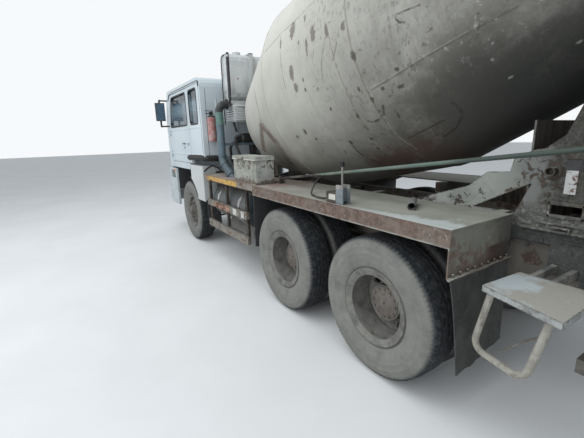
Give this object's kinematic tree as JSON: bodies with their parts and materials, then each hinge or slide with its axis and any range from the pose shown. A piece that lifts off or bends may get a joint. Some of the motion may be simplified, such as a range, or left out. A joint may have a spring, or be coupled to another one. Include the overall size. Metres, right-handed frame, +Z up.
{
  "type": "concrete mixer truck",
  "caption": "Three-axle concrete mixer truck with tilting cab, revolving drum, water tank and folding rear chute.",
  "frame": {"origin": "on the ground under the middle of the overall length, on the centre plane", "axes": "+X forward, +Y to the left side, +Z up"},
  "size_m": [8.411, 2.86, 3.7536],
  "materials": {
    "frame_paint": "dirty",
    "engine_paint": "oily",
    "tank_steel": "satin",
    "guard_paint": "rusty",
    "bumper_paint": "satin",
    "lamp": "clear",
    "cab_paint": "satin",
    "deck_steel": "dusty",
    "flap": "dusty",
    "pedestal_paint": "flaking",
    "step_steel": "worn",
    "lamp_red": "dusty",
    "box_paint": "chipped",
    "pipe_green": "chipped",
    "bottle_paint": "faded",
    "exhaust_steel": "rusty",
    "glass": "dusty",
    "grille": "matte",
    "trim": "matte",
    "mirror_shell": "matte",
    "tyre": "dusty",
    "rim": "dusty",
    "drum_paint": "weathered",
    "roller_steel": "worn",
    "jack_steel": "worn"
  },
  "bodies": {
    "chassis": {"frame_rails": "frame_paint", "subframe": "frame_paint", "front_axle": "frame_paint", "rear_axles": "frame_paint", "leaf_springs": "frame_paint", "engine": "engine_paint", "driveshafts": "frame_paint", "tanks": "tank_steel", "side_guards": "guard_paint", "front_bumper": "bumper_paint", "head_lamps": "lamp", "front_fenders": "cab_paint", "side_decks": "deck_steel", "mudflaps": "flap", "drum_gearbox": "engine_paint", "rear_pedestal": "pedestal_paint", "hopper": "pedestal_paint", "ladder": "step_steel", "rear_step": "step_steel", "tail_lamps": "lamp_red", "toolbox": "box_paint", "water_tank": "box_paint", "oil_cooler": "box_paint", "air_intake": "pipe_green", "exhaust": "exhaust_steel", "drum_controls": "pipe_green"},
    "cab": {"cab_shell": "cab_paint", "cab_glass": "glass", "grille": "grille", "cab_interior": "trim", "mirrors": "mirror_shell", "extinguisher": "bottle_paint"},
    "door_left": {"door_left": "cab_paint", "door_glass_left": "glass"},
    "door_right": {"door_right": "cab_paint", "door_glass_right": "glass"},
    "knuckle_left": {"knuckle_left": "frame_paint"},
    "knuckle_right": {"knuckle_right": "frame_paint"},
    "tie_rod": {"tie_rod": "frame_paint"},
    "front_wheel_left": {"tyre_front_left": "tyre", "rim_front_left": "rim"},
    "front_wheel_right": {"tyre_front_right": "tyre", "rim_front_right": "rim"},
    "mid_wheels_left": {"tyres_mid_left": "tyre", "rims_mid_left": "rim"},
    "mid_wheels_right": {"tyres_mid_right": "tyre", "rims_mid_right": "rim"},
    "rear_wheels_left": {"tyres_rear_left": "tyre", "rims_rear_left": "rim"},
    "rear_wheels_right": {"tyres_rear_right": "tyre", "rims_rear_right": "rim"},
    "drum": {"drum": "drum_paint"},
    "roller_left": {"roller_left": "roller_steel"},
    "roller_right": {"roller_right": "roller_steel"},
    "toolbox_lid": {"toolbox_lid": "box_paint"},
    "chute_swivel": {"chute_swivel": "pedestal_paint"},
    "chute_main": {"chute_main": "pedestal_paint"},
    "chute_extension": {"chute_extension": "pedestal_paint"},
    "jack_tube": {"jack_tube": "jack_steel"},
    "jack_rod": {"jack_rod": "jack_steel"}
  },
  "joints": [
    {"name": "drum_spin", "type": "hinge", "parent": "chassis", "child": "drum", "pos_m": [1.21551, 0, 2.05734], "axis": [-0.9774, 0, 0.2113], "continuous": true},
    {"name": "roller_left_spin", "type": "hinge", "parent": "chassis", "child": "roller_left", "pos_m": [-2.74758, 0.49763, 2.18708], "axis": [-0.9774, 0, 0.2113], "continuous": true},
    {"name": "roller_right_spin", "type": "hinge", "parent": "chassis", "child": "roller_right", "pos_m": [-2.74758, -0.49763, 2.18708], "axis": [-0.9774, 0, 0.2113], "continuous": true},
    {"name": "steer_left", "type": "hinge", "parent": "chassis", "child": "knuckle_left", "pos_m": [2.87551, 0.85, 0.5425], "axis": [0, 0, 1], "range_deg": [-35, 35]},
    {"name": "steer_right", "type": "hinge", "parent": "chassis", "child": "knuckle_right", "pos_m": [2.87551, -0.85, 0.5425], "axis": [0, 0, 1], "range_deg": [-35, 35]},
    {"name": "tie_rod_turn", "type": "hinge", "parent": "knuckle_left", "child": "tie_rod", "pos_m": [2.67551, 0.85, 0.4445], "axis": [0, 0, 1], "range_deg": [-35, 35]},
    {"name": "front_wheel_left_spin", "type": "hinge", "parent": "knuckle_left", "child": "front_wheel_left", "pos_m": [2.87551, 1.04, 0.5425], "axis": [0, 1, 0], "continuous": true},
    {"name": "front_wheel_right_spin", "type": "hinge", "parent": "knuckle_right", "child": "front_wheel_right", "pos_m": [2.87551, -1.04, 0.5425], "axis": [0, 1, 0], "continuous": true},
    {"name": "mid_wheels_left_spin", "type": "hinge", "parent": "chassis", "child": "mid_wheels_left", "pos_m": [-0.41449, 0.92, 0.5425], "axis": [0, 1, 0], "continuous": true},
    {"name": "mid_wheels_right_spin", "type": "hinge", "parent": "chassis", "child": "mid_wheels_right", "pos_m": [-0.41449, -0.92, 0.5425], "axis": [0, 1, 0], "continuous": true},
    {"name": "rear_wheels_left_spin", "type": "hinge", "parent": "chassis", "child": "rear_wheels_left", "pos_m": [-1.71449, 0.92, 0.5425], "axis": [0, 1, 0], "continuous": true},
    {"name": "rear_wheels_right_spin", "type": "hinge", "parent": "chassis", "child": "rear_wheels_right", "pos_m": [-1.71449, -0.92, 0.5425], "axis": [0, 1, 0], "continuous": true},
    {"name": "cab_tilt", "type": "hinge", "parent": "chassis", "child": "cab", "pos_m": [4.01551, 0, 0.9], "axis": [0, 1, 0], "range_deg": [0, 45]},
    {"name": "door_left_swing", "type": "hinge", "parent": "cab", "child": "door_left", "pos_m": [3.75751, 1.212, 1.6], "axis": [0, 0, -1], "range_deg": [0, 70]},
    {"name": "door_right_swing", "type": "hinge", "parent": "cab", "child": "door_right", "pos_m": [3.75751, -1.212, 1.6], "axis": [0, 0, 1], "range_deg": [0, 70]},
    {"name": "toolbox_lid_lift", "type": "hinge", "parent": "chassis", "child": "toolbox_lid", "pos_m": [0.41551, 0.961, 1.583], "axis": [1, 0, 0], "range_deg": [0, 70]},
    {"name": "chute_swing", "type": "hinge", "parent": "chassis", "child": "chute_swivel", "pos_m": [-3.19449, 0, 1.3], "axis": [0, 0, 1], "range_deg": [-70, 70]},
    {"name": "chute_tilt", "type": "hinge", "parent": "chute_swivel", "child": "chute_main", "pos_m": [-3.19449, 0, 1.64], "axis": [0, 1, 0], "range_deg": [-8, 10]},
    {"name": "chute_fold", "type": "hinge", "parent": "chute_main", "child": "chute_extension", "pos_m": [-4.09518, 0, 1.18003], "axis": [0, -1, 0], "range_deg": [0, 180]},
    {"name": "jack_swing", "type": "hinge", "parent": "chute_swivel", "child": "jack_tube", "pos_m": [-3.28649, 0, 0.84], "axis": [0, 1, 0], "range_deg": [-9, 9]},
    {"name": "jack_slide", "type": "slide", "parent": "jack_tube", "child": "jack_rod", "axis": [-0.326, 0, 0.9454], "range_m": [-0.0504, 0.0627]}
  ],
  "couplings": [
    {"joint": "roller_left_spin", "follows": "drum_spin", "ratio": -6.8845},
    {"joint": "roller_right_spin", "follows": "drum_spin", "ratio": -6.8845},
    {"joint": "steer_right", "follows": "steer_left", "ratio": 1},
    {"joint": "tie_rod_turn", "follows": "steer_left", "ratio": -1},
    {"joint": "jack_swing", "follows": "chute_tilt", "ratio": -0.6837},
    {"joint": "jack_slide", "follows": "chute_tilt", "m_per_rad": 0.3466}
  ]
}
